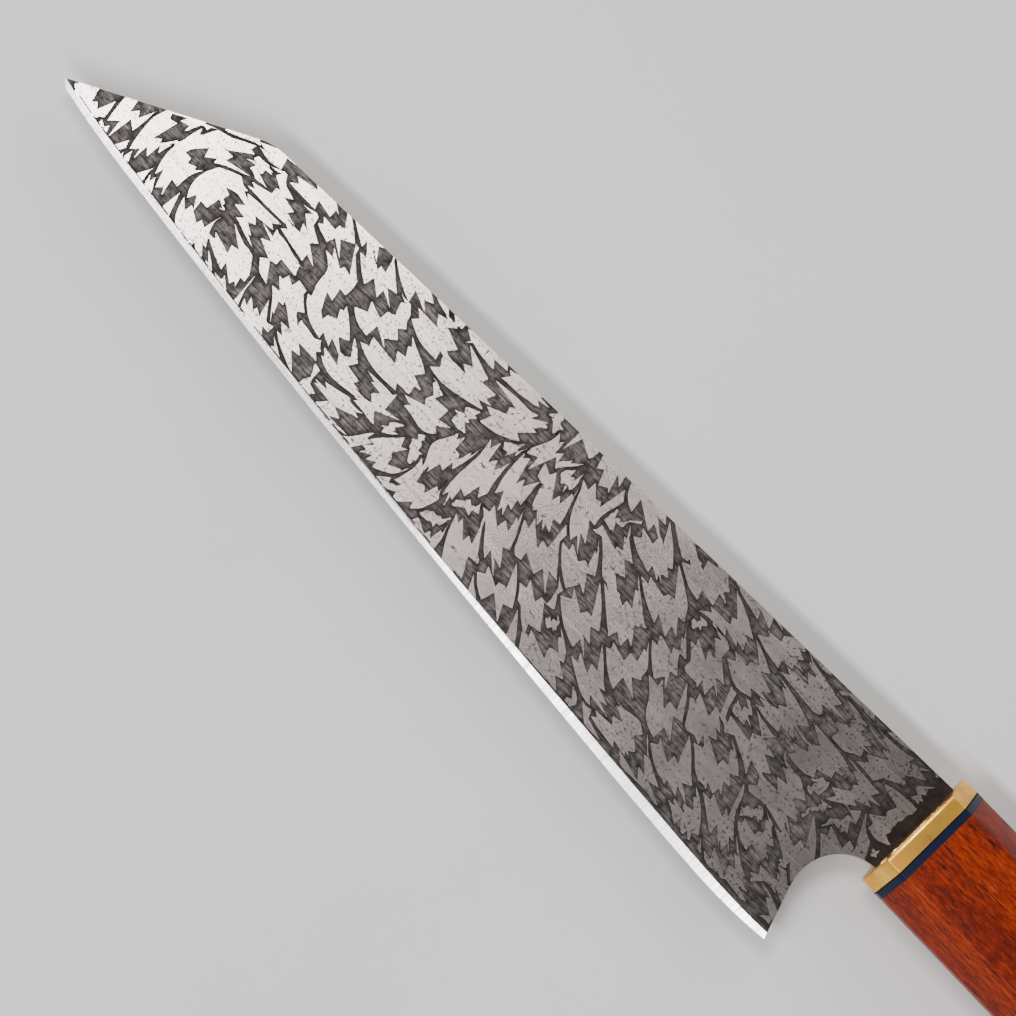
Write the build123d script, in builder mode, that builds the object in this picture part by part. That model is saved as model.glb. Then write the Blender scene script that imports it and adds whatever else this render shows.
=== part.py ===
from build123d import *
from math import cos, radians, sin, sqrt
import os

os.makedirs("parts", exist_ok=True)

# ---------------------------------------------------------------------------
# Driving dimensions, in millimetres.
# The knife lies on its side. X runs from the tip (-X) to the butt of the
# handle (+X), the cutting edge faces -Y, the spine faces +Y and Z is the
# thickness. Outlines are in knife coordinates: their zero is on the handle's
# axis, at the front face of the bolster, half way through the thickness.
# ---------------------------------------------------------------------------

# Blade outline
tip = (-207.8, -16.1)
nose_middle = (-207.0, -16.9)  # the very point is slightly rounded off
nose_end = (-204.8, -17.6)
corner = (-172.6, 3.1)  # where the spine meets the straight clipped point
corner_radius = 11.0
spine_middle = (-84.0, 7.15)  # the spine is a very shallow arc
neck_top = 10.4  # height of the spine at the bolster
choil_centre = (0.9, -20.0)  # the choil is a round notch for the finger
choil_radius = 10.0
heel_lean = 19.3  # degrees that the straight heel leans off square
heel_y = -33.9

# Cutting edge: stations of (x, y of the edge, width of the sharpened bevel)
edge_stations = (
    (-197.0, -19.0, 1.00),
    (-181.0, -20.95, 0.95),
    (-149.0, -24.4, 0.85),
    (-117.0, -27.3, 0.85),
    (-85.0, -29.9, 1.10),
    (-53.0, -32.45, 1.70),
    (-29.0, -34.1, 1.80),
    (-15.0, -34.55, 1.65),
)
beyond_tip = (-214.0, -15.0, 0.90)
beyond_heel = (4.0, -33.0, 1.40)
edge_flat = 0.06  # thickness left at the very edge

# Blade thickness: each side is one flat plane from the spine to the bevel
blank_half_thickness = 2.0  # of the bar that the blade is ground from
spine_half_thickness = 1.4  # at the bolster
taper_to_edge = 0.0218  # half thickness lost per mm towards the edge
taper_to_tip = 0.0021  # half thickness lost per mm towards the tip

# Tang, hidden in the handle
tang_root = -1.0  # it grows out of the blade just ahead of the bolster
tang_height = 12.0
tang_thickness = 2.0
tang_parallel = 8.0  # it keeps its full height this far behind the bolster's front
tang_end = 92.0
tang_end_height = 7.0

# Handle section: an octagon with wide flat cheeks and narrow upper and lower flats
handle_height = 26.4
butt_height = 28.0  # the handle gets slightly taller towards the butt
handle_width = 18.8
corner_cut_y = 4.7
corner_cut_z = 7.6

# Stack along X, behind the blade's shoulder
bolster_length = 3.35
bolster_easing_depth = 0.12  # its front rim is eased by hand with a file
bolster_easing_length = 0.55
liner_length = 0.3
spacer_length = 1.45
handle_end = 130.0
butt_chamfer = 1.2

# Hidden in the stack
cavity_height = 14.0
cavity_width = 5.0
cavity_end = 98.0
pin_radius = 1.0
pin_offset = 9.6  # from the handle's axis towards the spine and the edge
pin_front = 1.2
pin_end = 13.0

# ---------------------------------------------------------------------------
# The part's frame: origin under the middle of the whole knife, on the table
# ---------------------------------------------------------------------------
lowest_edge_y = edge_stations[-1][1]
bolster_front_x = -(tip[0] + handle_end) / 2
handle_axis_y = -(lowest_edge_y + butt_height / 2) / 2
middle_z = handle_width / 2
liner_front = bolster_length
spacer_front = liner_front + liner_length
wood_front = spacer_front + spacer_length
side_plane = Plane(origin=(bolster_front_x, handle_axis_y, middle_z))


def cross_plane(x):
    """Plane across the knife at x, with its own axes along Y and Z."""
    origin = (bolster_front_x + x, handle_axis_y, middle_z)
    return Plane(origin=origin, x_dir=(0, 1, 0), z_dir=(1, 0, 0))


def half_thickness(x, y):
    """Half thickness of the flat ground blade at a point of its side."""
    return spine_half_thickness + taper_to_edge * (y - neck_top) + taper_to_tip * x


def octagon(height):
    """Corners of the handle's section, going round from the upper cheek."""
    cheek = height / 2 - corner_cut_y
    narrow_flat = handle_width / 2 - corner_cut_z
    spine_side = (
        (cheek, handle_width / 2),
        (height / 2, narrow_flat),
        (height / 2, -narrow_flat),
        (cheek, -handle_width / 2),
    )
    return spine_side + tuple((-y, -z) for y, z in spine_side)


def tang_outline():
    """Outline of the tang, seen from the side."""
    upper = (
        (tang_root, tang_height / 2),
        (tang_parallel, tang_height / 2),
        (tang_end, tang_end_height / 2),
    )
    return upper + tuple((x, -y) for x, y in reversed(upper))


# ---------------------------------------------------------------------------
# Blade: one piece of steel with its hidden tang
# ---------------------------------------------------------------------------
lean = radians(heel_lean)
heel_top = (choil_centre[0] - choil_radius * cos(lean), choil_centre[1] - choil_radius * sin(lean))
heel_run = (heel_top[1] - heel_y) / cos(lean)
heel = (heel_top[0] + heel_run * sin(lean), heel_y)
choil_front = (choil_centre[0] - choil_radius, choil_centre[1])
neck_bottom = choil_centre[1] + sqrt(choil_radius**2 - choil_centre[0] ** 2)

# The waste that sharpening takes off the upper side: a wedge along the edge
with BuildPart() as bevel_waste:
    for x, edge_y, width in (beyond_tip, *edge_stations, beyond_heel):
        bevel_y = edge_y + width
        bevel_z = half_thickness(x, bevel_y)
        slope = (bevel_z - edge_flat / 2) / width
        with BuildSketch(cross_plane(x)):
            with BuildLine():
                Polyline(
                    (edge_y - 1, edge_flat / 2 - slope),
                    (bevel_y + 1, bevel_z + slope),
                    (edge_y - 1, bevel_z + slope),
                    close=True,
                )
            make_face()
    loft()

# The plane of each ground side, from its normal in knife coordinates
upper_point = side_plane.from_local_coords(Vector(0, neck_top, spine_half_thickness))
lower_point = side_plane.from_local_coords(Vector(0, neck_top, -spine_half_thickness))
upper_side = Plane(origin=upper_point, z_dir=(-taper_to_tip, -taper_to_edge, 1))
lower_side = Plane(origin=lower_point, z_dir=(-taper_to_tip, -taper_to_edge, -1))

with BuildPart() as blade:
    with BuildSketch(side_plane):
        with BuildLine():
            ThreePointArc((0, neck_top), spine_middle, corner)
            Line(corner, tip)
            ThreePointArc(tip, nose_middle, nose_end)
            Spline(nose_end, *[(x, edge_y) for x, edge_y, width in edge_stations], heel)
            Line(heel, heel_top)
            ThreePointArc(heel_top, choil_front, (0, neck_bottom))
            Line((0, neck_bottom), (0, neck_top))
        make_face()
        fillet(vertices().sort_by_distance(Vector(*corner))[0], radius=corner_radius)
    extrude(amount=blank_half_thickness, both=True)
    split(bisect_by=upper_side, keep=Keep.BOTTOM)
    split(bisect_by=lower_side, keep=Keep.BOTTOM)
    add(bevel_waste.part, mode=Mode.SUBTRACT)
    mirror(bevel_waste.part, about=side_plane, mode=Mode.SUBTRACT)
    with BuildSketch(side_plane):
        with BuildLine():
            Polyline(*tang_outline(), close=True)
        make_face()
    extrude(amount=tang_thickness / 2, both=True)
blade.part.label = "blade"
export_step(blade.part, "parts/blade.step")

# ---------------------------------------------------------------------------
# Alignment pins: they key the bolster, liner and spacer to the wood
# ---------------------------------------------------------------------------
pin_places = {"alignment_pin_spine_side": pin_offset, "alignment_pin_edge_side": -pin_offset}
for name, offset_y in pin_places.items():
    with BuildPart() as alignment_pin:
        with BuildSketch(cross_plane(pin_front)):
            with Locations((offset_y, 0)):
                Circle(pin_radius)
        extrude(amount=pin_end - pin_front)
    alignment_pin.part.label = name
    export_step(alignment_pin.part, f"parts/{name}.step")

# ---------------------------------------------------------------------------
# Bolster: brass plate with a slot for the tang and blind holes for the pins
# ---------------------------------------------------------------------------
with BuildPart() as bolster:
    with BuildSketch(cross_plane(0)):
        with BuildLine():
            Polyline(*octagon(handle_height), close=True)
        make_face()
    extrude(amount=bolster_length)
    front = faces().sort_by(Axis.X)[0]
    chamfer(front.edges(), length=bolster_easing_depth, length2=bolster_easing_length, reference=front)
    with BuildSketch(cross_plane(0)):
        Rectangle(tang_height, tang_thickness)
    extrude(amount=bolster_length, mode=Mode.SUBTRACT)
    with BuildSketch(cross_plane(pin_front)):
        with Locations((pin_offset, 0), (-pin_offset, 0)):
            Circle(pin_radius)
    extrude(amount=bolster_length - pin_front, mode=Mode.SUBTRACT)
bolster.part.label = "bolster"
export_step(bolster.part, "parts/bolster.step")

# ---------------------------------------------------------------------------
# Liner and spacer: thin plates of the same section, slotted and drilled through
# ---------------------------------------------------------------------------
plates = {"black_liner": (liner_front, liner_length), "blue_spacer": (spacer_front, spacer_length)}
for name, (front, length) in plates.items():
    with BuildPart() as plate:
        with BuildSketch(cross_plane(front)):
            with BuildLine():
                Polyline(*octagon(handle_height), close=True)
            make_face()
            Rectangle(tang_height, tang_thickness, mode=Mode.SUBTRACT)
            with Locations((pin_offset, 0), (-pin_offset, 0)):
                Circle(pin_radius, mode=Mode.SUBTRACT)
        extrude(amount=length)
    plate.part.label = name
    export_step(plate.part, f"parts/{name}.step")

# ---------------------------------------------------------------------------
# Handle body: octagonal block with a routed cavity for the tang
# ---------------------------------------------------------------------------
with BuildPart() as handle_body:
    with BuildSketch(side_plane):
        with BuildLine():
            Polyline(
                (wood_front, handle_height / 2),
                (handle_end, butt_height / 2),
                (handle_end, -butt_height / 2),
                (wood_front, -handle_height / 2),
                close=True,
            )
        make_face()
    extrude(amount=handle_width / 2, both=True)
    for lowest_or_highest in (0, -1):
        cheek = faces().sort_by(Axis.Z)[lowest_or_highest]
        long_edges = cheek.edges().sort_by(SortBy.LENGTH)[-2:]
        chamfer(long_edges, length=corner_cut_y, length2=corner_cut_z, reference=cheek)
    chamfer(faces().sort_by(Axis.X)[-1].edges(), length=butt_chamfer)
    with BuildSketch(cross_plane(wood_front)):
        SlotOverall(cavity_height, cavity_width)
    extrude(amount=cavity_end - wood_front, mode=Mode.SUBTRACT)
    with BuildSketch(cross_plane(wood_front)):
        with Locations((pin_offset, 0), (-pin_offset, 0)):
            Circle(pin_radius)
    extrude(amount=pin_end - wood_front, mode=Mode.SUBTRACT)
handle_body.part.label = "handle_body"
export_step(handle_body.part, "parts/handle_body.step")

# ---------------------------------------------------------------------------
# Tang bedding: cured resin that fills the cavity round the tang
# ---------------------------------------------------------------------------
with BuildPart() as tang_bedding:
    with BuildSketch(cross_plane(wood_front)):
        SlotOverall(cavity_height, cavity_width)
    extrude(amount=cavity_end - wood_front)
    with BuildSketch(side_plane):
        with BuildLine():
            Polyline(*tang_outline(), close=True)
        make_face()
    extrude(amount=tang_thickness / 2, both=True, mode=Mode.SUBTRACT)
tang_bedding.part.label = "tang_bedding"
export_step(tang_bedding.part, "parts/tang_bedding.step")
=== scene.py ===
import math
import random

import bmesh
import bpy
import numpy as np
from mathutils import Matrix, Vector, geometry


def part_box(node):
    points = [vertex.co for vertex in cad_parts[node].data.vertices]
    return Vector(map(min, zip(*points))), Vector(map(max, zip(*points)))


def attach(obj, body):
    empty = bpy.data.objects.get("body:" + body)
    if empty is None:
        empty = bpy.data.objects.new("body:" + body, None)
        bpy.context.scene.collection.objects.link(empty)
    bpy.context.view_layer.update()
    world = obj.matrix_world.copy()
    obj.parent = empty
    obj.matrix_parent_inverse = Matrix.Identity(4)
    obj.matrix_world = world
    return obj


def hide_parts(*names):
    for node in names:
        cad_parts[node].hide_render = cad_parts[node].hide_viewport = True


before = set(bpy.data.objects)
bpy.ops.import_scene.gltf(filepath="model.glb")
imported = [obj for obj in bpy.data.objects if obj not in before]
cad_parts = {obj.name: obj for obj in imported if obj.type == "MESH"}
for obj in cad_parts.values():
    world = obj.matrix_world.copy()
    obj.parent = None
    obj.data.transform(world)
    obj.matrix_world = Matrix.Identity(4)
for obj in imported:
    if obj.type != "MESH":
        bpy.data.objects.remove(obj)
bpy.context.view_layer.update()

MM = 0.001

# Knife coordinates, in millimetres: zero on the handle's axis at the bolster's front face.
bolster_low, bolster_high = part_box("bolster")
bolster_middle = (bolster_low + bolster_high) / 2
ORIGIN = Vector((bolster_low.x, bolster_middle.y, bolster_middle.z))


def place(x, y, z=0.0):
    """A point in knife coordinates, as a point of the frame in metres."""
    return ORIGIN + Vector((x, y, z)) * MM


# ---------------------------------------------------------------------------
# Camera, floor and light
# ---------------------------------------------------------------------------
CAMERA_TARGET = (-94.35, -12.5)
CAMERA_DISTANCE = 1300.0
CAMERA_TILT = 6.8  # degrees off straight down, leaning towards the edge side
IMAGE_UP = 135.75  # direction of the picture's upper side, degrees from +X
LENS = 250.4


def add_camera():
    tilt = math.radians(CAMERA_TILT)
    towards_camera = Vector((0, -math.sin(tilt), math.cos(tilt)))
    target = place(*CAMERA_TARGET)
    camera = bpy.data.objects.new("camera", bpy.data.cameras.new("camera"))
    camera.data.lens = LENS
    camera.data.sensor_width = 36
    camera.data.clip_start = 0.05
    camera.data.clip_end = 20
    up = Vector((math.cos(math.radians(IMAGE_UP)), math.sin(math.radians(IMAGE_UP)), 0))
    right = up.cross(towards_camera).normalized()
    up = towards_camera.cross(right)
    axes = Matrix((right, up, towards_camera)).transposed().to_4x4()
    camera.matrix_world = Matrix.Translation(target + towards_camera * CAMERA_DISTANCE * MM) @ axes
    bpy.context.scene.collection.objects.link(camera)
    bpy.context.scene.camera = camera


def add_area_light(name, position, target, size, watts, colour):
    light = bpy.data.lights.new(name, "AREA")
    light.shape = "RECTANGLE"
    light.size, light.size_y = size
    light.energy = watts
    light.color = colour
    lamp = bpy.data.objects.new(name, light)
    lamp.location = position
    lamp.rotation_euler = (Vector(position) - Vector(target)).to_track_quat("Z", "Y").to_euler()
    bpy.context.scene.collection.objects.link(lamp)


def add_floor():
    size = 1.5
    mesh = bpy.data.meshes.new("floor")
    corners = [(-size, -size, 0), (size, -size, 0), (size, size, 0), (-size, size, 0)]
    mesh.from_pydata(corners, [], [(0, 1, 2, 3)])
    floor = bpy.data.objects.new("floor", mesh)
    floor.location.z = -0.0002
    bpy.context.scene.collection.objects.link(floor)
    material, nodes, links, shader = new_material("pale_floor", roughness=0.8)
    fine = noise(nodes, links, object_coordinates(nodes, links), 14, detail=6)
    shades = ((0.3, (0.82, 0.81, 0.80)), (0.7, (0.87, 0.86, 0.85)))
    colour_ramp(nodes, links, fine, shader.inputs["Base Color"], shades)
    mesh.materials.append(material)


def add_world():
    """Pale all round, as in a light tent, and dim overhead."""
    world = bpy.data.worlds.new("studio")
    world.use_nodes = True
    nodes, links = world.node_tree.nodes, world.node_tree.links
    background = nodes["Background"]
    background.inputs["Color"].default_value = (0.95, 0.97, 1.0, 1)
    direction = nodes.new("ShaderNodeTexCoord")
    height = nodes.new("ShaderNodeSeparateXYZ")
    links.new(direction.outputs["Generated"], height.inputs["Vector"])
    spread(nodes, links, height.outputs["Z"], 0.6, 0.88, 0.42, 0.02, background.inputs["Strength"])
    bpy.context.scene.world = world


# ---------------------------------------------------------------------------
# Material helpers
# ---------------------------------------------------------------------------
def new_material(name, roughness=0.5, metallic=0.0, specular=0.5, coat=0.0, coat_roughness=0.1):
    material = bpy.data.materials.new(name)
    material.use_nodes = True
    nodes, links = material.node_tree.nodes, material.node_tree.links
    shader = nodes["Principled BSDF"]
    shader.inputs["Roughness"].default_value = roughness
    shader.inputs["Metallic"].default_value = metallic
    shader.inputs["Specular IOR Level"].default_value = specular
    shader.inputs["Coat Weight"].default_value = coat
    shader.inputs["Coat Roughness"].default_value = coat_roughness
    return material, nodes, links, shader


def object_coordinates(nodes, links, stretch=(1, 1, 1)):
    """Object coordinates scaled by stretch: a large number gives fine detail along that axis."""
    source = nodes.new("ShaderNodeTexCoord")
    mapping = nodes.new("ShaderNodeMapping")
    mapping.vector_type = "POINT"
    mapping.inputs["Scale"].default_value = stretch
    links.new(source.outputs["Object"], mapping.inputs["Vector"])
    return mapping.outputs["Vector"]


def noise(nodes, links, vector, scale, detail=4.0, roughness=0.55, distortion=0.0):
    node = nodes.new("ShaderNodeTexNoise")
    node.inputs["Scale"].default_value = scale
    node.inputs["Detail"].default_value = detail
    node.inputs["Roughness"].default_value = roughness
    node.inputs["Distortion"].default_value = distortion
    links.new(vector, node.inputs["Vector"])
    return node.outputs["Fac"]


def spread(nodes, links, value, low, high, out_low, out_high, socket=None):
    """value from low..high to out_low..out_high, clamped; into socket if one is given."""
    node = nodes.new("ShaderNodeMapRange")
    node.inputs["From Min"].default_value = low
    node.inputs["From Max"].default_value = high
    node.inputs["To Min"].default_value = out_low
    node.inputs["To Max"].default_value = out_high
    links.new(value, node.inputs["Value"])
    if socket is not None:
        links.new(node.outputs["Result"], socket)
    return node.outputs["Result"]


def colour_ramp(nodes, links, value, socket, stops):
    node = nodes.new("ShaderNodeValToRGB")
    elements = node.color_ramp.elements
    while len(elements) < len(stops):
        elements.new(0.5)
    for element, (position, colour) in zip(elements, stops):
        element.position = position
        element.color = (*colour, 1)
    links.new(value, node.inputs["Fac"])
    if socket is not None:
        links.new(node.outputs["Color"], socket)
    return node.outputs["Color"]


def blend_colours(nodes, links, factor, a, b, socket=None):
    """Mix of two colour sockets (or plain colours) by factor."""
    node = nodes.new("ShaderNodeMix")
    node.data_type = "RGBA"
    for value, name in ((factor, 0), (a, 6), (b, 7)):
        if isinstance(value, bpy.types.NodeSocket):
            links.new(value, node.inputs[name])
        elif name == 0:
            node.inputs[name].default_value = value
        else:
            node.inputs[name].default_value = (*value, 1)
    if socket is not None:
        links.new(node.outputs[2], socket)
    return node.outputs[2]


def arithmetic(nodes, links, operation, a, b):
    node = nodes.new("ShaderNodeMath")
    node.operation = operation
    for index, value in enumerate((a, b)):
        if isinstance(value, bpy.types.NodeSocket):
            links.new(value, node.inputs[index])
        else:
            node.inputs[index].default_value = value
    return node.outputs["Value"]


def bump(nodes, links, height, shader, distance, strength=1.0):
    node = nodes.new("ShaderNodeBump")
    node.inputs["Distance"].default_value = distance
    node.inputs["Strength"].default_value = strength
    links.new(height, node.inputs["Height"])
    links.new(node.outputs["Normal"], shader.inputs["Normal"])


# ---------------------------------------------------------------------------
# Materials
# ---------------------------------------------------------------------------
def scale_steel():
    """The raised scales: satin steel, faintly brushed along the blade, with tiny dark pits."""
    material, nodes, links, shader = new_material("scale_steel", roughness=0.26, metallic=1.0)
    brushed = noise(nodes, links, object_coordinates(nodes, links, (60, 2300, 60)), 1.0, detail=3)
    cloud = noise(nodes, links, object_coordinates(nodes, links), 90, detail=3)
    shades = ((0.36, (0.48, 0.41, 0.40)), (0.64, (0.605, 0.53, 0.52)))
    steel = colour_ramp(nodes, links, brushed, None, shades)
    pits = noise(nodes, links, object_coordinates(nodes, links), 2000, detail=1)
    pitted = spread(nodes, links, pits, 0.615, 0.65, 0.0, 0.8)
    blend_colours(nodes, links, pitted, steel, (0.08, 0.07, 0.068), socket=shader.inputs["Base Color"])
    spread(nodes, links, cloud, 0.3, 0.7, 0.225, 0.262, shader.inputs["Roughness"])
    bump(nodes, links, arithmetic(nodes, links, "SUBTRACT", brushed, pitted), shader, 0.000001, 0.5)
    return material


def etched_ground():
    """The eaten away ground: black next to the scales, scratched further out and dirty in patches, with
    painted shade that darkens it towards the bolster."""
    material, nodes, links, shader = new_material("etched_ground", roughness=0.5, metallic=0.8)
    worn = nodes.new("ShaderNodeAttribute")
    worn.attribute_name = "worn"
    along_blade = object_coordinates(nodes, links, (200, 2600, 200))
    scratches = noise(nodes, links, along_blade, 1.0, detail=3, roughness=0.7)
    blotches = noise(nodes, links, object_coordinates(nodes, links), 420, detail=5, roughness=0.65)
    grime = noise(nodes, links, object_coordinates(nodes, links), 1500, detail=3, roughness=0.6)
    dark_shades = ((0.3, (0.010, 0.008, 0.007)), (0.7, (0.026, 0.021, 0.020)))
    dark = colour_ramp(nodes, links, blotches, None, dark_shades)
    light_shades = ((0.38, (0.036, 0.031, 0.030)), (0.66, (0.20, 0.178, 0.172)))
    light = colour_ramp(nodes, links, scratches, None, light_shades)
    spot = nodes.new("ShaderNodeSeparateXYZ")
    links.new(object_coordinates(nodes, links), spot.inputs["Vector"])
    # Painted shade: the scratched ground is darkened towards the bolster, from 15 mm to 2 mm before its
    # front face.
    painted_shade_start, painted_shade_end = ORIGIN.x - 15 * MM, ORIGIN.x - 2 * MM
    outside_painted_shade = spread(nodes, links, spot.outputs["X"], painted_shade_start, painted_shade_end, 1.0, 0.05)
    without_blotches = spread(nodes, links, blotches, 0.32, 0.60, 0.3, 1.0)
    without_grime = spread(nodes, links, grime, 0.36, 0.46, 0.35, 1.0)
    # Share of the ground free of blotches and grime, times the painted shade at the bolster.
    clean_and_unshaded = arithmetic(nodes, links, "MULTIPLY", without_blotches, outside_painted_shade)
    clean_and_unshaded = arithmetic(nodes, links, "MULTIPLY", without_grime, clean_and_unshaded)
    amount = arithmetic(nodes, links, "MULTIPLY", worn.outputs["Fac"], clean_and_unshaded)
    blend_colours(nodes, links, amount, dark, light, socket=shader.inputs["Base Color"])
    spread(nodes, links, amount, 0.0, 1.0, 0.6, 0.42, shader.inputs["Roughness"])
    bump(nodes, links, arithmetic(nodes, links, "ADD", scratches, grime), shader, 0.00004, 0.6)
    return material


def bevel_steel():
    """The sharpened bevel: bright, with fine marks across the edge."""
    material, nodes, links, shader = new_material("bevel_steel", roughness=0.3, metallic=1.0)
    across = noise(nodes, links, object_coordinates(nodes, links, (2400, 120, 120)), 1.0, detail=3)
    shades = ((0.36, (0.62, 0.60, 0.59)), (0.6, (0.97, 0.95, 0.94)))
    colour_ramp(nodes, links, across, shader.inputs["Base Color"], shades)
    spread(nodes, links, across, 0.3, 0.7, 0.30, 0.20, shader.inputs["Roughness"])
    bump(nodes, links, across, shader, 0.00001, 0.5)
    return material


def spine_steel():
    """Spine, choil and shoulder: satin steel, sanded lengthwise."""
    material, nodes, links, shader = new_material("spine_steel", roughness=0.42, metallic=1.0)
    sanded = noise(nodes, links, object_coordinates(nodes, links, (70, 2200, 2200)), 1.0, detail=4)
    shades = ((0.3, (0.36, 0.34, 0.33)), (0.7, (0.52, 0.50, 0.49)))
    colour_ramp(nodes, links, sanded, shader.inputs["Base Color"], shades)
    spread(nodes, links, sanded, 0.3, 0.7, 0.36, 0.5, shader.inputs["Roughness"])
    bump(nodes, links, sanded, shader, 0.00001, 0.5)
    return material


def brass():
    """Brass, finely sanded across the stack and a little stained."""
    material, nodes, links, shader = new_material("satin_brass", roughness=0.3, metallic=1.0)
    sanded = noise(nodes, links, object_coordinates(nodes, links, (5200, 160, 160)), 1.0, detail=3)
    stain = noise(nodes, links, object_coordinates(nodes, links), 230, detail=4)
    shades = ((0.3, (0.90, 0.48, 0.08)), (0.7, (0.98, 0.56, 0.11)))
    polished = colour_ramp(nodes, links, sanded, None, shades)
    stained = spread(nodes, links, stain, 0.42, 0.66, 0.0, 0.7)
    blend_colours(nodes, links, stained, polished, (0.60, 0.27, 0.035), socket=shader.inputs["Base Color"])
    spread(nodes, links, stain, 0.3, 0.7, 0.27, 0.38, shader.inputs["Roughness"])
    bump(nodes, links, sanded, shader, 0.000006, 0.5)
    return material


def black_fibre():
    material, nodes, links, shader = new_material("dull_black_fibre", roughness=0.7, specular=0.1)
    fibres = noise(nodes, links, object_coordinates(nodes, links), 1800, detail=4)
    shades = ((0.3, (0.003, 0.003, 0.003)), (0.7, (0.009, 0.008, 0.008)))
    colour_ramp(nodes, links, fibres, shader.inputs["Base Color"], shades)
    return material


def blue_spacer():
    material, nodes, links, shader = new_material("dark_blue_resin", roughness=0.4, specular=0.2)
    cloud = noise(nodes, links, object_coordinates(nodes, links), 420, detail=4)
    shades = ((0.3, (0.0012, 0.004, 0.022)), (0.7, (0.002, 0.008, 0.038)))
    colour_ramp(nodes, links, cloud, shader.inputs["Base Color"], shades)
    return material


def handle_wood():
    """Oiled red-orange hardwood: soft bands, flecks and short dark pores, all along the handle."""
    material, nodes, links, shader = new_material(
        "oiled_wood", roughness=0.42, specular=0.12, coat=0.04, coat_roughness=0.2
    )
    wide, fine, finest = (
        object_coordinates(nodes, links, stretch)
        for stretch in ((14, 150, 150), (420, 1700, 1700), (230, 2300, 2300))
    )
    bands = noise(nodes, links, wide, 1.0, detail=4, distortion=0.8)
    flecks = noise(nodes, links, fine, 1.0, detail=4, roughness=0.6)
    pores = noise(nodes, links, finest, 1.0, detail=2)
    figure = arithmetic(nodes, links, "ADD", bands, flecks)
    shades = (
        (0.12, (0.07, 0.005, 0.002)),
        (0.42, (0.17, 0.013, 0.002)),
        (0.66, (0.29, 0.027, 0.003)),
        (0.9, (0.42, 0.055, 0.006)),
    )
    wood = colour_ramp(nodes, links, spread(nodes, links, figure, 0.6, 1.4, 0.0, 1.0), None, shades)
    open_pores = spread(nodes, links, pores, 0.59, 0.65, 0.0, 0.92)
    blend_colours(nodes, links, open_pores, wood, (0.030, 0.005, 0.003), socket=shader.inputs["Base Color"])
    spread(nodes, links, flecks, 0.3, 0.7, 0.34, 0.48, shader.inputs["Roughness"])
    bump(nodes, links, arithmetic(nodes, links, "SUBTRACT", flecks, open_pores), shader, 0.00003, 0.5)
    return material


def cured_resin():
    material, nodes, links, shader = new_material("cured_resin", roughness=0.4)
    cloud = noise(nodes, links, object_coordinates(nodes, links), 300, detail=3)
    shades = ((0.3, (0.36, 0.26, 0.12)), (0.7, (0.48, 0.37, 0.20)))
    colour_ramp(nodes, links, cloud, shader.inputs["Base Color"], shades)
    return material


# ---------------------------------------------------------------------------
# Etched pattern: rows of jagged scales that follow a flow over the blade
# ---------------------------------------------------------------------------
# Flow: (x, y) in knife coordinates and the direction that the scales point there, in degrees
FLOW = (
    (-203, -15, -90), (-199, -15, -90), (-196, -11, -90), (-188, -13, -90), (-187, -6, -145),
    (-193, -16, -85), (-177, -6, -130), (-177, -15, -90), (-183, -17, -70), (-172, -19, -50),
    (-178, -1, -165), (-166, 1, 0), (-157, 2, -15), (-150, 1, -45), (-141, 1, -35),
    (-167, -4, 180), (-154, -4, -20), (-143, -6, 90), (-133, -2, -35), (-162, -10, 170),
    (-151, -10, -40), (-139, -13, -30), (-133, -8, -35), (-166, -15, -25), (-156, -20, -60),
    (-148, -17, -35), (-143, -21, -10), (-131, -18, 180), (-127, 2, -10), (-117, 3, -5),
    (-107, 4, 0), (-99, 5, -145), (-91, 3, -85), (-99, -3, -110), (-111, -4, -165),
    (-105, -12, -95), (-117, -12, -165), (-124, -8, -15), (-122, -3, -25), (-126, -13, 175),
    (-121, -20, -150), (-109, -19, -95), (-115, -25, -135), (-99, -21, -65), (-95, -16, -55),
    (-95, -10, -72), (-90, -5, -75), (-82, 3, -75), (-88, -12, -55), (-72, 4, -30),
    (-72, -3, -35), (-80, -8, -50), (-64, -1, -35), (-56, 7, -20), (-53, 2, -15),
    (-55, -7, -38), (-64, -8, -32), (-72, -13, -40), (-83, -14, -45), (-78, -20, -45),
    (-62, -16, -48), (-50, -14, -55), (-66, -22, -38), (-87, -22, -42), (-52, -22, -25),
    (-77, -27, -45), (-70, -28, -15), (-55, -28, -8), (-45, 6, -20), (-33, 6, -5),
    (-20, 6, 3), (-7, 7, 22), (-36, -1, -5), (-21, 0, 8), (-8, -1, 14),
    (-44, -7, -40), (-30, -8, -12), (-17, -8, -8), (-35, -14, -35), (-22, -15, -20),
    (-38, -21, -48), (-26, -21, -45), (-16, -20, -22), (-15, -26, -30), (-38, -28, -18),
    (-25, -30, -48), (-9, -13, -50), (-11, -17, -50), (-15, -32, -10),
)
FLOW_POINTS = np.array([(x, y) for x, y, angle in FLOW], float)
FLOW_ANGLES = np.radians([angle for x, y, angle in FLOW])
ROW_SPACING = 7.7  # mm between the middle lines of neighbouring rows, at the heel
SCALE_PITCH = 10.0  # mm from one scale to the next along a row, at the heel
ROW_STEP = 0.5  # mm between the points of a row's middle line
SHARPEST_TURN = 0.75  # cosine of the sharpest turn between two steps of a row
SHARPEST_BEND = 0.5  # the same over a few steps
OWN_REACH = 24  # steps after which a row may not come near itself again
CLOSEST_ROW = 0.72  # of the row spacing: a row stops this far from the middle line of another
HOLE_RADIUS = 1.7  # ground further than this from any scale gets a small scale of its own
SPOT_SPACING = 0.8  # mm between the spots where holes are looked for
FILLER_CLEARANCE = 1.1  # mm from the placed scales to the middle line of a filler
SHORTEST_FILLER = 3.0
SHORTEST_ROW = 5.0
ROW_GAP = 0.55  # mm of ground between two rows
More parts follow.
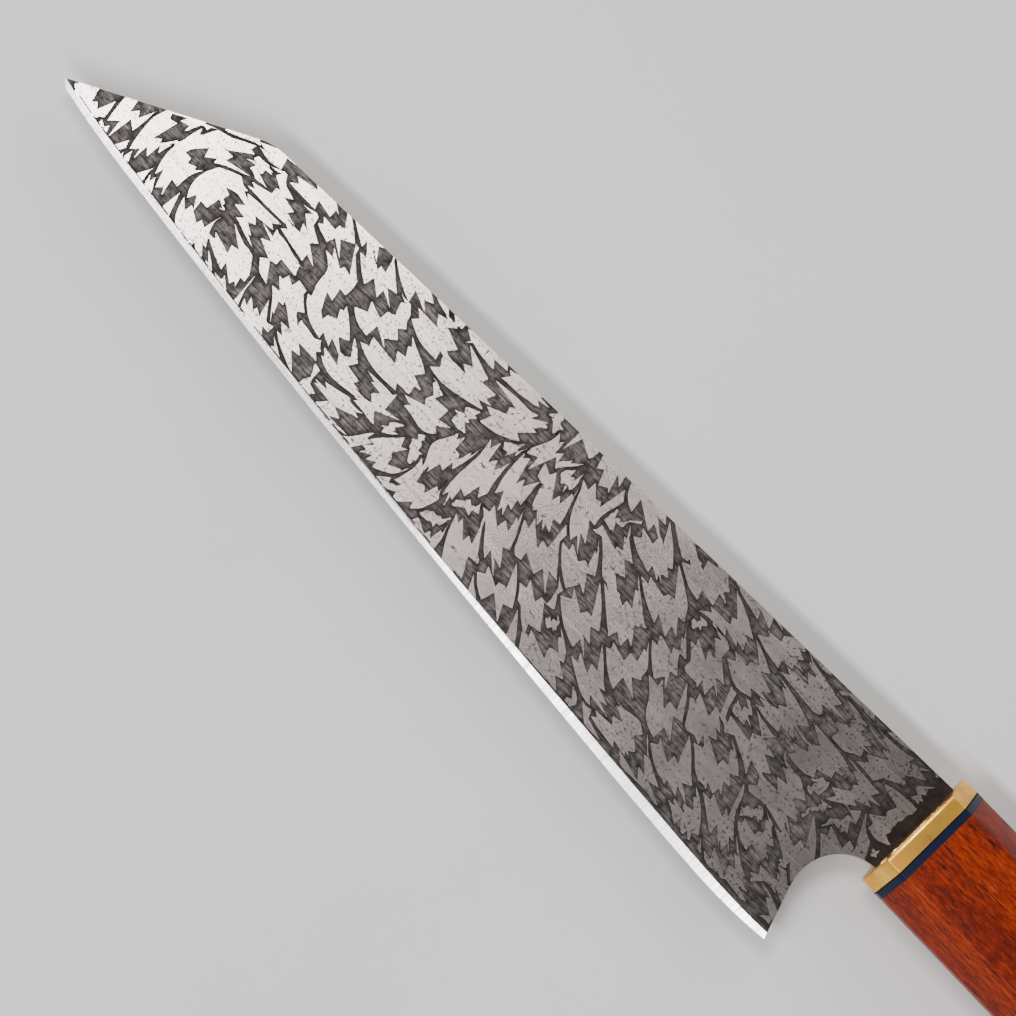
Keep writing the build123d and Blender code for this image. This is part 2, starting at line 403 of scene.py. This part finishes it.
ROW_MARGIN = 2.5  # rows run on this far past the blade's outline
LOWEST_SPIKE = 1.5  # mm that the lowest spike of a scale reaches into the next one's notch
SPIKE_SLOPE = 5.3  # mm that the spikes at the scale's side stay behind it
ETCH_DEPTH = 0.09  # mm from the scales down to the ground
FIRST_ROW = (-60.0, -5.0)  # a point that the first row runs through
STRIP = 0.4  # half width of the strip in which a row looks sideways for placed scales
FLANK_SHARES = [step / 9 for step in range(1, 9)]
FLANK_BULGE = 0.10


def scale_size(x):
    """1 at the heel, smaller towards the tip."""
    return 0.86 + 0.14 * min(1.0, max(0.0, (x + 200) / 140))


def flow_weights(point):
    return 1 / (((FLOW_POINTS - point) ** 2).sum(1) + 6.0) ** 2


def flow_line(point):
    """Unit vector along the rows at a point; its sign means nothing."""
    weights = flow_weights(point)
    across = (weights * np.sin(2 * FLOW_ANGLES)).sum()
    ahead = (weights * np.cos(2 * FLOW_ANGLES)).sum()
    angle = 0.5 * math.atan2(across, ahead)
    return np.array((math.cos(angle), math.sin(angle)))


def points_with_flow(point, direction):
    """Above zero where the scales point along direction."""
    return (flow_weights(point) * np.cos(FLOW_ANGLES - math.atan2(direction[1], direction[0]))).sum()


def is_near(points, point, distance):
    return len(points) > 0 and (((points - point) ** 2).sum(1) < distance**2).any()


def grow_row(seed, taken, allowed, clearance=None):
    """Middle line of a row through seed, both ways, until it leaves the blade or meets another row.
    Also says for each end whether it left the blade."""
    halves, free_ends = [], []
    for way in (-1, 1):
        point, heading = np.array(seed, float), flow_line(seed) * way
        half, left_blade = [], False
        for _ in range(400):
            middle_line = flow_line(point + heading * ROW_STEP / 2)
            step = middle_line if middle_line @ heading > 0 else -middle_line
            recent = half[-5] - half[-7] if len(half) > 7 else step
            if step @ heading < SHARPEST_TURN or step @ recent < SHARPEST_BEND * np.linalg.norm(recent):
                break
            point, heading = point + step * ROW_STEP, step
            if not allowed(point):
                left_blade = True
                break
            close = clearance or CLOSEST_ROW * ROW_SPACING * scale_size(point[0])
            older = np.array(half[:-OWN_REACH]) if len(half) > OWN_REACH else np.zeros((0, 2))
            if is_near(taken, point, close) or is_near(older, point, close):
                break
            half.append(point)
        halves.append(half)
        free_ends.append(left_blade)
    return np.array(halves[0][::-1] + [np.array(seed, float)] + halves[1]), free_ends


def grow_rows(allowed):
    """Rows that cover the blade: each new row starts beside an older one, first at full spacing, and
    then closer, to fill what is left."""
    rows, taken = [], np.zeros((0, 2))
    for closeness in (1.0, 0.8):
        seeds, next_row = [np.array(FIRST_ROW)], 0
        while seeds:
            for seed in seeds:
                clear = 0.985 * closeness * ROW_SPACING * scale_size(seed[0])
                if not allowed(seed) or is_near(taken, seed, clear):
                    continue
                row, free_ends = grow_row(seed, taken, allowed)
                if len(row) * ROW_STEP >= SHORTEST_ROW:
                    rows.append((row, free_ends))
                    taken = np.vstack([taken, row])
            seeds = seeds_beside(rows[next_row][0], closeness) if next_row < len(rows) else []
            next_row += 1
    return rows


def seeds_beside(row, closeness):
    """Starting points for new rows on both sides of a row."""
    sideways = side_vectors(row)
    return [
        row[i] + sideways[i] * side * closeness * ROW_SPACING * scale_size(row[i][0])
        for i in range(0, len(row), 4)
        for side in (1, -1)
    ]


def side_vectors(row):
    """Unit vectors square to the row, on its left."""
    along = np.gradient(row, axis=0)
    along /= np.linalg.norm(along, axis=1)[:, None]
    return np.stack([-along[:, 1], along[:, 0]], 1)


def smoothed(values, reach):
    kernel = np.ones(2 * reach + 1) / (2 * reach + 1)
    return np.convolve(np.pad(values, reach, mode="edge"), kernel, mode="valid")


def round_points(outline):
    """Points all along a closed outline, close enough to each other to be met by a search strip."""
    corners = np.array(outline)
    points = []
    for a, b in zip(corners, np.roll(corners, -1, axis=0)):
        count = int(np.linalg.norm(b - a) / STRIP) + 1
        points += [a + (b - a) * index / count for index in range(count)]
    return np.array(points)


def room_beside(row, along, sideways, waiting, placed):
    """Room on one side of a row: its share of the way to the rows that wait, and the whole way to the
    placed scales."""
    share, limit = [], []
    for point, ahead, side in zip(row, along, sideways):
        share.append(0.68 * ROW_SPACING * scale_size(point[0]))
        apart = waiting - point
        beside = apart @ side > 0.3
        if beside.any():
            half_way = (apart[beside] ** 2).sum(1) / (2 * apart[beside] @ side)
            share[-1] = min(share[-1], half_way.min() - ROW_GAP / 2)
        apart = placed - point
        met = (abs(apart @ ahead) < STRIP) & (apart @ side > 0)
        limit.append(max(0.3, (apart[met] @ side).min() - ROW_GAP) if met.any() else 99.0)
    share = smoothed(np.maximum(share, 0.4), 3)
    return np.minimum(share, limit), np.array(limit)


def crown(rng, size):
    """Upstream end of a scale, from its left to its right side: a long horn, a deep notch with a tooth in
    it, a second horn nearer the middle and a short third one. Each corner is (millimetres along the row,
    share of the way to the row's side)."""
    deep = rng.uniform(3.0, 4.3) * size
    left = (-rng.uniform(0.6, 2.2) * size, rng.uniform(0.85, 1.1))
    notch = (deep, rng.uniform(0.36, 0.54))
    tooth = (deep - rng.uniform(0.9, 2.1) * size, rng.uniform(0.12, 0.28))
    far_notch = (deep - rng.uniform(-0.4, 0.9) * size, rng.uniform(-0.2, 0.0))
    horn = (-rng.uniform(-0.3, 1.7) * size, -rng.uniform(0.34, 0.56))
    shoulder = (horn[0] + rng.uniform(1.0, 2.2) * size, horn[1] - rng.uniform(0.14, 0.24))
    right = (shoulder[0] - rng.uniform(0.3, 1.8) * size, -rng.uniform(0.88, 1.1))
    rest = [notch, tooth, far_notch, horn, shoulder, right]
    if rng.random() < 0.4:
        step = (left[0] + 0.55 * (deep - left[0]), left[1] - 0.12)
        return [left, step, (step[0] - 0.7 * size, step[1] - 0.12)] + rest
    return [left] + rest


def spikes(rng, size):
    """Downstream end, from right to left: sharp spikes that step down to the lowest one."""
    count = rng.choice((3, 4, 4, 5)) if size > 0.6 else 3
    lowest = rng.uniform(-0.4, 0.3)
    width = rng.uniform(0.62, 0.84)
    tips = []
    for index in range(count):
        s = width * (2 * index / (count - 1) - 1)
        if 0 < index < count - 1:
            s += rng.uniform(-0.1, 0.1)
        reach = LOWEST_SPIKE - SPIKE_SLOPE * abs(s - lowest) ** 1.1 + rng.uniform(-0.5, 0.5)
        tips.append((reach * size, s))
    points = [tips[0]]
    for a, b in zip(tips, tips[1:]):
        rising = b[0] < a[0]
        share = rng.uniform(0.1, 0.4) if rising else rng.uniform(0.6, 0.9)
        valley = (min(a[0], b[0]) - rng.uniform(0.5, 1.9) * size, a[1] + (b[1] - a[1]) * share)
        points += [valley, b]
    return points


def row_of_scales(rng, row, free_ends, waiting, placed):
    """Outlines of the scales along one row, which stay clear of the placed ones."""
    sideways = side_vectors(row)
    along = np.stack([sideways[:, 1], -sideways[:, 0]], 1)
    votes = sum(points_with_flow(point, direction) > 0 for point, direction in zip(row, along))
    if votes < len(row) / 2:
        row, free_ends = row[::-1], free_ends[::-1]
        sideways, along = -sideways[::-1], -along[::-1]
    left = room_beside(row, along, sideways, waiting, placed)
    right = room_beside(row, along, -sideways, waiting, placed)
    length = (len(row) - 1) * ROW_STEP

    def at(u, s):
        """The point u millimetres along the row and s of the way to its side."""
        position = min(max(u / ROW_STEP, 0), len(row) - 1.001)
        index = int(position)
        rest = position - index
        middle = row[index] + (row[index + 1] - row[index]) * rest
        share, limit = left if s >= 0 else right
        width = abs(s) * (share[index] + (share[index + 1] - share[index]) * rest)
        width = min(width, limit[index], limit[index + 1])
        return middle + along[index] * (u - position * ROW_STEP) + sideways[index] * math.copysign(width, s)

    pitch = SCALE_PITCH * scale_size(row[len(row) // 2][0])
    first = -rng.uniform(0.0, 0.8) * pitch if free_ends[0] else 0.0
    last = length + (rng.uniform(0.0, 0.8) * pitch if free_ends[1] else 0.0)
    count = max(1, round((last - first) / pitch))
    cuts = [first + (last - first) * index / count for index in range(count + 1)]
    for index in range(1, count):
        cuts[index] += rng.uniform(-0.12, 0.12) * (last - first) / count
    outlines = []
    for start, end in zip(cuts, cuts[1:]):
        size = scale_size(at(start, 0)[0]) * min(1.1, (end - start) / pitch)
        head, tail = crown(rng, size), spikes(rng, size)

        def flank(upper, lower):
            """Points of a smooth side of the scale, a little fuller in its middle."""
            (u0, s0), (u1, s1) = (start + upper[0], upper[1]), (end + lower[0], lower[1])
            bulge = math.copysign(FLANK_BULGE, s0)
            return [
                at(u0 + (u1 - u0) * f, s0 + (s1 - s0) * f + bulge * math.sin(math.pi * f))
                for f in FLANK_SHARES
            ]

        outline = [at(start + u, s) for u, s in head]
        outline += flank(head[-1], tail[0])
        outline += [at(end + u, s) for u, s in tail]
        outline += flank(head[0], tail[-1])[::-1]
        outlines.append(outline)
    return outlines


def scale_outlines(seed, outline):
    """Outlines of all scales of one side of the blade."""
    rng = random.Random(seed)
    corners = np.array(outline)

    def allowed(point):
        """True within the outline or just past its spine or edge."""
        shifts = (0, -ROW_MARGIN, ROW_MARGIN)
        return any(contains(corners, (point[0], point[1] + shift)) for shift in shifts)

    rows = grow_rows(allowed)
    outlines, placed = [], np.zeros((0, 2))
    for index, (row, free_ends) in enumerate(rows):
        waiting = np.vstack([np.zeros((0, 2))] + [other for other, ends in rows[index + 1:]])
        scales = row_of_scales(rng, row, free_ends, waiting, placed)
        outlines += scales
        placed = np.vstack([placed] + [round_points(scale) for scale in scales])
    return outlines + fillers(rng, corners, allowed, outlines, placed)


def fillers(rng, corners, allowed, outlines, placed):
    """Small scales for the holes that the rows leave."""
    limits = zip(corners.min(0), corners.max(0))
    columns, lines = (np.arange(low, high, SPOT_SPACING) for low, high in limits)
    spots = np.array([(x, y) for x in columns for y in lines])
    free = inside(corners, spots)
    for scale in outlines:
        free &= ~inside(scale, spots)
    spots = spots[free]
    clear = np.array([((placed - spot) ** 2).sum(1).min() for spot in spots])
    added = []
    while clear.max() > HOLE_RADIUS**2:
        seed = spots[clear.argmax()]
        clear[((spots - seed) ** 2).sum(1) < 1.0] = 0.0
        row, _ = grow_row(seed, placed, allowed, FILLER_CLEARANCE)
        if len(row) * ROW_STEP < SHORTEST_FILLER:
            continue
        for scale in row_of_scales(rng, row, (False, False), np.zeros((0, 2)), placed):
            added.append(scale)
            new_points = round_points(scale)
            placed = np.vstack([placed, new_points])
            clear = np.minimum(clear, [((new_points - spot) ** 2).sum(1).min() for spot in spots])
            clear[inside(scale, spots)] = 0.0
    return added


def inside(outline, points):
    """For each point, True if it is inside the closed outline."""
    corners = np.array(outline)
    near = np.flatnonzero(((points > corners.min(0)) & (points < corners.max(0))).all(1))
    x, y = points[near].T
    odd = np.zeros(len(near), bool)
    for (ax, ay), (bx, by) in zip(corners, np.roll(corners, -1, axis=0)):
        if ay != by:
            odd ^= ((ay > y) != (by > y)) & (x < ax + (y - ay) * (bx - ax) / (by - ay))
    result = np.zeros(len(points), bool)
    result[near] = odd
    return result


def contains(corners, point):
    """True if the point is inside the closed polygon."""
    after = np.roll(corners, -1, axis=0)
    crosses = (corners[:, 1] > point[1]) != (after[:, 1] > point[1])
    a, b = corners[crosses], after[crosses]
    crossed_at = a[:, 0] + (point[1] - a[:, 1]) * (b[:, 0] - a[:, 0]) / (b[:, 1] - a[:, 1])
    return bool((point[0] < crossed_at).sum() % 2)


# ---------------------------------------------------------------------------
# Pieces
# ---------------------------------------------------------------------------
def clean_copy(node):
    """Bmesh of a CAD node's mesh with its split vertices joined again."""
    mesh = bmesh.new()
    mesh.from_mesh(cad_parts[node].data)
    bmesh.ops.remove_doubles(mesh, verts=mesh.verts, dist=1e-6)
    mesh.normal_update()
    return mesh


def add_piece(name, data, node):
    """Put a visual piece into the scene in place of a CAD node."""
    piece = bpy.data.objects.new(name, data)
    bpy.context.scene.collection.objects.link(piece)
    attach(piece, "root")
    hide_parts(node)


# ---------------------------------------------------------------------------
# Blade: the CAD blade with its two flat sides rebuilt as raised scales on an etched ground
# ---------------------------------------------------------------------------
SCALE, GROUND, BEVEL, PLAIN = range(4)  # material slots of the blade
SIDES = ((1, 1), (-1, 2))  # each side's facing and the seed of its pattern
POINT_SPACING = 0.55  # mm between the points that the ground is divided by
WORN_REACH = 0.9  # mm from a scale at which the ground is fully scratched
TIP_BARE = 2.4  # mm of bare ground at the tip
BOLSTER_BARE = 1.7  # the same at the bolster, where it gets wider towards the spine
BLEND_START = -75.0  # from here to the heel the scales are ground away above the bevel
LAND_END = -100.0  # the land above the bevel runs from the tip to here
LAND_HEIGHT = 0.3  # mm of steel above the bevel, below the groove
SMALLEST_ISLAND = 0.5  # square mm of steel; anything smaller has been eaten away
SMALLEST_HOLE = 0.25  # square mm of ground within a scale; anything smaller stays steel


def flat_side(mesh, facing):
    """Faces of the blade's flat side that faces up (1) or down (-1)."""
    candidates = [face for face in mesh.faces if face.normal.z * facing > 0.9]
    largest = max(candidates, key=lambda face: face.calc_area())
    return [face for face in candidates if face.normal.dot(largest.normal) > 0.99999], largest


def outline_of(faces):
    """Vertices round a patch of faces, in order."""
    inside = set(faces)
    after = {}
    for face in faces:
        for loop in face.loops:
            if not any(other in inside for other in loop.edge.link_faces if other != face):
                after[loop.vert] = loop.link_loop_next.vert
    start = next(iter(after))
    ring = [start]
    while after[ring[-1]] != start:
        ring.append(after[ring[-1]])
    return ring


def is_bevel(face):
    """True for the faces of the sharpened bevel, which lean more than the flat sides do."""
    return 0.8 < abs(face.normal.z) < 0.999 and face.calc_center_median().x < ORIGIN.x


def touches_bevel(vertex, flat_faces):
    return any(is_bevel(face) and face not in flat_faces for face in vertex.link_faces)


def to_knife(point):
    return ((point.x - ORIGIN.x) / MM, (point.y - ORIGIN.y) / MM)


def steps_along(rng, start, end, shortest, longest):
    """Values from start to end in uneven steps."""
    values = [start]
    while values[-1] < end:
        values.append(values[-1] + rng.uniform(shortest, longest))
    return values


def bare_bands(rng, corners, edge_side):
    """Outlines that overrule the scales, each with its level: bare ground at the tip, at the bolster and
    above the bevel near the heel, and a thin land of steel above the bevel's front part, with a fine
    broken groove over it."""
    low, high = corners.min(0) - 1, corners.max(0) + 1
    border_x, border_y = edge_side[:, 0], edge_side[:, 1]

    def above_bevel(x, distance):
        return (x, float(np.interp(x, border_x, border_y)) + distance)

    bolster_rim = []
    for y in steps_along(rng, low[1], high[1], 0.3, 1.1):
        bolster_rim.append((-BOLSTER_BARE - 0.10 * (y + 6) + rng.uniform(-1.1, 1.1), y))
    bands = [(bolster_rim + [(high[0], high[1] + 2), (high[0], low[1])], GROUND)]
    tip_x = low[0] + 1
    tip_steps = steps_along(rng, low[1], high[1], 0.3, 0.8)
    tip_rim = [(tip_x + TIP_BARE + rng.uniform(-0.9, 0.5), y) for y in tip_steps]
    bands.append((tip_rim + [(low[0], high[1] + 1), (low[0], low[1])], GROUND))
    heel_x = border_x[-1]
    blend = []
    for x in steps_along(rng, BLEND_START, heel_x, 0.5, 2.0):
        height = 0.25 + 1.1 * (x - BLEND_START) / (heel_x - BLEND_START)
        blend.append(above_bevel(x, height * rng.uniform(0.6, 1.3)))
    bands.append((blend + [above_bevel(heel_x, -3), above_bevel(BLEND_START, -3)], GROUND))
    land = [x for x in border_x if tip_x + 1.5 < x < LAND_END]
    land_top = [above_bevel(x, LAND_HEIGHT) for x in land]
    bands.append((land_top + [above_bevel(land[-1] + 1, -2), above_bevel(land[0] - 1, -2)], SCALE))
    x = land[0]
    while x < LAND_END:
        end = x + rng.uniform(0.6, 4.5)
        upper = LAND_HEIGHT + rng.uniform(0.20, 0.34)
        dash = [above_bevel(x, LAND_HEIGHT), above_bevel(end, LAND_HEIGHT)]
        bands.append((dash + [above_bevel(end - 0.1, upper), above_bevel(x + 0.1, upper)], GROUND))
        x = end + rng.uniform(0.15, 0.7)
    return bands


def etched_side(seed, outline, edge_side, plane_point, plane_normal, facing):
    """Vertices, faces, material slots and wear of one etched side, which lies on the given plane."""
    rng = random.Random(seed + 100)
    corners = np.array(outline)
    low, high = corners.min(0), corners.max(0)
    scales = scale_outlines(seed, outline)
    bands = bare_bands(rng, corners, edge_side)
    points, edges = [], []
    for polygon in [outline] + scales + [band for band, level in bands]:
        ring = list(range(len(points), len(points) + len(polygon)))
        edges += zip(ring, ring[1:] + ring[:1])
        points += [Vector((float(x), float(y))) for x, y in polygon]
    columns, lines = ((high - low) / POINT_SPACING).astype(int)
    grid = np.array([
        (i + 0.5 * (j % 2) + rng.uniform(-0.15, 0.15), j + rng.uniform(-0.15, 0.15))
        for i in range(columns)
        for j in range(lines)
    ]) * POINT_SPACING + low
    wanted = inside(outline, grid)
    for scale in scales:
        wanted &= ~inside(scale, grid)
    points += [Vector((float(x), float(y))) for x, y in grid[wanted]]
    cut_points, _, cut_faces, _, _, _ = geometry.delaunay_2d_cdt(points, edges, [], 0, 1e-5)
    centres = np.array([
        [sum(cut_points[index][axis] for index in face) / 3 for axis in (0, 1)]
        for face in cut_faces
    ])
    kept = inside(outline, centres)
    triangles = [face for face, keep in zip(cut_faces, kept) if keep]
    levels = levels_at(centres[kept], scales, bands)
    bridge_corners(triangles, levels)
    without_specks(cut_points, triangles, levels, SCALE, GROUND, SMALLEST_ISLAND)
    without_specks(cut_points, triangles, levels, GROUND, SCALE, SMALLEST_HOLE)
    return mesh_from_levels(cut_points, triangles, levels, plane_point, plane_normal, facing)


def levels_at(centres, scales, bands):
    """Steel where exactly one scale covers a point, ground elsewhere, unless a band overrules that."""
    covered = sum(inside(scale, centres).astype(int) for scale in scales)
    levels = np.where(covered == 1, SCALE, GROUND)
    for band, level in bands:
        levels[inside(band, centres)] = level
    return levels.tolist()


def area_of(triangle, points):
    a, b, c = (points[index] for index in triangle)
    return abs((b.x - a.x) * (c.y - a.y) - (c.x - a.x) * (b.y - a.y)) / 2


def sides_of(triangles):
    """For each side, the triangles that have it, as (index of the triangle, start point, end point)."""
    sides = {}
    for index, triangle in enumerate(triangles):
        for a, b in zip(triangle, triangle[1:] + triangle[:1]):
            sides.setdefault((min(a, b), max(a, b)), []).append((index, a, b))
    return list(sides.values())


def bridge_corners(triangles, levels):
    """Where two patches of steel touch only at a point, fill the ground round that point with steel."""
    sides = sides_of(triangles)
    while True:
        walls = {}
        for shared in sides:
            if sum(levels[index] == GROUND for index, a, b in shared) == 1:
                for end in shared[0][1:]:
                    walls[end] = walls.get(end, 0) + 1
        touching = {end for end, count in walls.items() if count > 2}
        if not touching:
            return
        for index, triangle in enumerate(triangles):
            if touching.intersection(triangle):
                levels[index] = SCALE


def without_specks(points, triangles, levels, level, surroundings, smallest):
    """Give each patch of one level that is smaller than the smallest area the level of what is round it."""
    neighbours = [[] for triangle in triangles]
    for shared in sides_of(triangles):
        if len(shared) == 2:
            first, second = shared[0][0], shared[1][0]
            neighbours[first].append(second)
            neighbours[second].append(first)
    seen = set()
    for start in range(len(triangles)):
        if levels[start] == level and start not in seen:
            seen.add(start)
            patch = [start]
            for index in patch:
                fresh = [
                    other for other in neighbours[index]
                    if levels[other] == level and other not in seen
                ]
                seen.update(fresh)
                patch += fresh
            if sum(area_of(triangles[index], points) for index in patch) < smallest:
                for index in patch:
                    levels[index] = surroundings


def mesh_from_levels(points, triangles, levels, plane_point, plane_normal, facing):
    """Raised scales, sunken ground and the small walls between them. The wear of a vertex is 0 next to a
    scale and 1 far from all of them."""
    sides = sides_of(triangles)
    border = [shared for shared in sides if len({levels[index] for index, a, b in shared}) == 2]
    border_points = np.array([points[end][:] for shared in border for end in shared[0][1:]])
    vertices, numbers, worn = [], {}, []

    def vertex(index, level):
        if (index, level) not in numbers:
            numbers[index, level] = len(vertices)
            x, y = points[index]
            spot = place(x, y)
            away = plane_normal.x * (spot.x - plane_point.x) + plane_normal.y * (spot.y - plane_point.y)
            spot.z = plane_point.z - away / plane_normal.z
            distance = 0.0
            if level == GROUND:
                spot.z -= facing * ETCH_DEPTH * MM
                distance = math.sqrt(((border_points - (x, y)) ** 2).sum(1).min())
            vertices.append(spot)
            worn.append(min(1.0, distance / WORN_REACH))
        return numbers[index, level]

    faces, slots = [], []
    for triangle, level in zip(triangles, levels):
        face = [vertex(index, level) for index in triangle]
        faces.append(face if facing > 0 else face[::-1])
        slots.append(level)
    for shared in sides:
        ground_sides = [(a, b) for index, a, b in shared if levels[index] == GROUND]
        if len(ground_sides) != 1:
            continue
        a, b = ground_sides[0]
        wall = [vertex(b, GROUND), vertex(a, GROUND), vertex(a, SCALE), vertex(b, SCALE)]
        faces.append(wall if facing > 0 else wall[::-1])
        slots.append(GROUND)
    return vertices, faces, slots, worn


def rim_of(faces):
    """Vertices of the edges that only one face has."""
    uses = {}
    for face in faces:
        for a, b in zip(face, face[1:] + face[:1]):
            uses[min(a, b), max(a, b)] = uses.get((min(a, b), max(a, b)), 0) + 1
    return sorted({index for edge, count in uses.items() if count == 1 for index in edge})


def points_between(start, end, points):
    """Indices of the points that lie on the straight line from start to end, in order."""
    start, along = np.array(start), np.array(end - start)
    share = (points - start) @ along / (along @ along)
    away = np.linalg.norm(points - start - np.outer(share, along), axis=1)
    margin = 1e-6 / np.linalg.norm(along)
    found = np.flatnonzero((share > margin) & (share < 1 - margin) & (away < 1e-6))
    return found[share[found].argsort()].tolist()


def rebuilt_sides(mesh):
    """Both etched sides as one set of vertices, faces, slots and wear, and the CAD faces they stand for."""
    vertices, faces, slots, worn = [], [], [], []
    flat_faces = set()
    for facing, seed in SIDES:
        patch, largest = flat_side(mesh, facing)
        flat_faces |= set(patch)
        ring = outline_of(patch)
        if facing < 0:
            ring = ring[::-1]
        outline = [to_knife(vertex.co) for vertex in ring]
        edge_side = np.array(sorted(to_knife(vertex.co) for vertex in ring if touches_bevel(vertex, patch)))
        plane = largest.verts[0].co.copy(), largest.normal.copy()
        side = etched_side(seed, outline, edge_side, *plane, facing)
        offset = len(vertices)
        vertices += side[0]
        faces += [[index + offset for index in face] for face in side[1]]
        slots += side[2]
        worn += side[3]
    return vertices, faces, slots, worn, flat_faces


def build_blade(materials):
    mesh = clean_copy("blade")
    vertices, faces, slots, worn, flat_faces = rebuilt_sides(mesh)
    rim = rim_of(faces)
    rim_points = np.array([vertices[index][:] for index in rim])
    offset = len(vertices)
    vertices += [vertex.co.copy() for vertex in mesh.verts]
    worn += [0.0] * len(mesh.verts)
    for face in mesh.faces:
        if face not in flat_faces:
            ring = []
            for loop in face.loops:
                ring.append(loop.vert.index + offset)
                if any(other in flat_faces for other in loop.edge.link_faces):
                    end = loop.link_loop_next.vert.co
                    ring += [rim[index] for index in points_between(loop.vert.co, end, rim_points)]
            faces.append(ring)
            slots.append(BEVEL if is_bevel(face) else PLAIN)
    mesh.free()
    data = bpy.data.meshes.new("etched_blade")
    data.from_pydata(vertices, [], faces)
    data.polygons.foreach_set("material_index", slots)
    data.attributes.new("worn", "FLOAT", "POINT").data.foreach_set("value", worn)
    for material in materials:
        data.materials.append(material)
    joined = bmesh.new()
    joined.from_mesh(data)
    bmesh.ops.remove_doubles(joined, verts=joined.verts, dist=1e-6)
    loose = [vertex for vertex in joined.verts if not vertex.link_faces]
    bmesh.ops.delete(joined, geom=loose, context="VERTS")
    joined.to_mesh(data)
    joined.free()
    data.set_sharp_from_angle(angle=math.radians(25))
    for face in data.polygons:
        face.use_smooth = face.material_index in (BEVEL, PLAIN)
    add_piece("etched_blade", data, "blade")


# ---------------------------------------------------------------------------
# Handle stack: the CAD solids with their long ridges softened
# ---------------------------------------------------------------------------
# The ridges lie further than this from the handle's axis, and the cavity and pin holes nearer.
OUTER_Y, OUTER_Z = 11.5 * MM, 8.0 * MM


def is_outer(point):
    return abs(point.y - ORIGIN.y) > OUTER_Y or abs(point.z - ORIGIN.z) > OUTER_Z


def build_softened(node, name, material, radius):
    """Copy of a CAD node whose outer ridges are rounded, apart from the rims where two pieces meet."""
    joints = [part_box(neighbour)[0].x for neighbour in ("black_liner", "blue_spacer", "handle_body")]
    mesh = clean_copy(node)
    bmesh.ops.dissolve_limit(mesh, angle_limit=math.radians(0.5), verts=mesh.verts, edges=mesh.edges)
    ridges = []
    for edge in mesh.edges:
        a, b = (vertex.co for vertex in edge.verts)
        at_joint = any(abs(a.x - x) < 1e-5 and abs(b.x - x) < 1e-5 for x in joints)
        if is_outer(a) and is_outer(b) and not at_joint and edge.calc_face_angle(0) > 0.1:
            ridges.append(edge)
    bmesh.ops.bevel(mesh, geom=ridges, offset=radius * MM, segments=3, profile=0.5, affect="EDGES")
    bmesh.ops.remove_doubles(mesh, verts=mesh.verts, dist=3e-6)
    data = bpy.data.meshes.new(name)
    mesh.to_mesh(data)
    mesh.free()
    data.polygons.foreach_set("use_smooth", [True] * len(data.polygons))
    data.set_sharp_from_angle(angle=math.radians(22))
    data.materials.clear()
    data.materials.append(material)
    add_piece(name, data, node)


def paint(node, material):
    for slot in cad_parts[node].material_slots:
        slot.material = material


add_camera()
add_world()
add_floor()
add_area_light("key", place(-330, 80, 870), place(-200, 0), (0.24, 0.24), 3.3, (1.0, 0.985, 0.96))
add_area_light("edge_light", place(-100, -400, 800), place(-100, -20), (0.9, 0.12), 5.8, (0.99, 0.985, 1.0))
add_area_light("side_light", place(-80, 900, 650), place(-40, 0), (1.0, 0.6), 4.0, (1.0, 0.985, 0.96))
add_area_light("handle_light", place(260, 420, 700), place(20, 0), (0.5, 0.5), 0.4, (1.0, 0.97, 0.93))

brass_material = brass()
build_blade([scale_steel(), etched_ground(), bevel_steel(), spine_steel()])
build_softened("bolster", "brass_bolster", brass_material, 0.13)
build_softened("black_liner", "fibre_liner", black_fibre(), 0.13)
build_softened("blue_spacer", "blue_spacer_plate", blue_spacer(), 0.2)
build_softened("handle_body", "wooden_handle", handle_wood(), 0.45)
paint("tang_bedding", cured_resin())
paint("alignment_pin_spine_side", brass_material)
paint("alignment_pin_edge_side", brass_material)
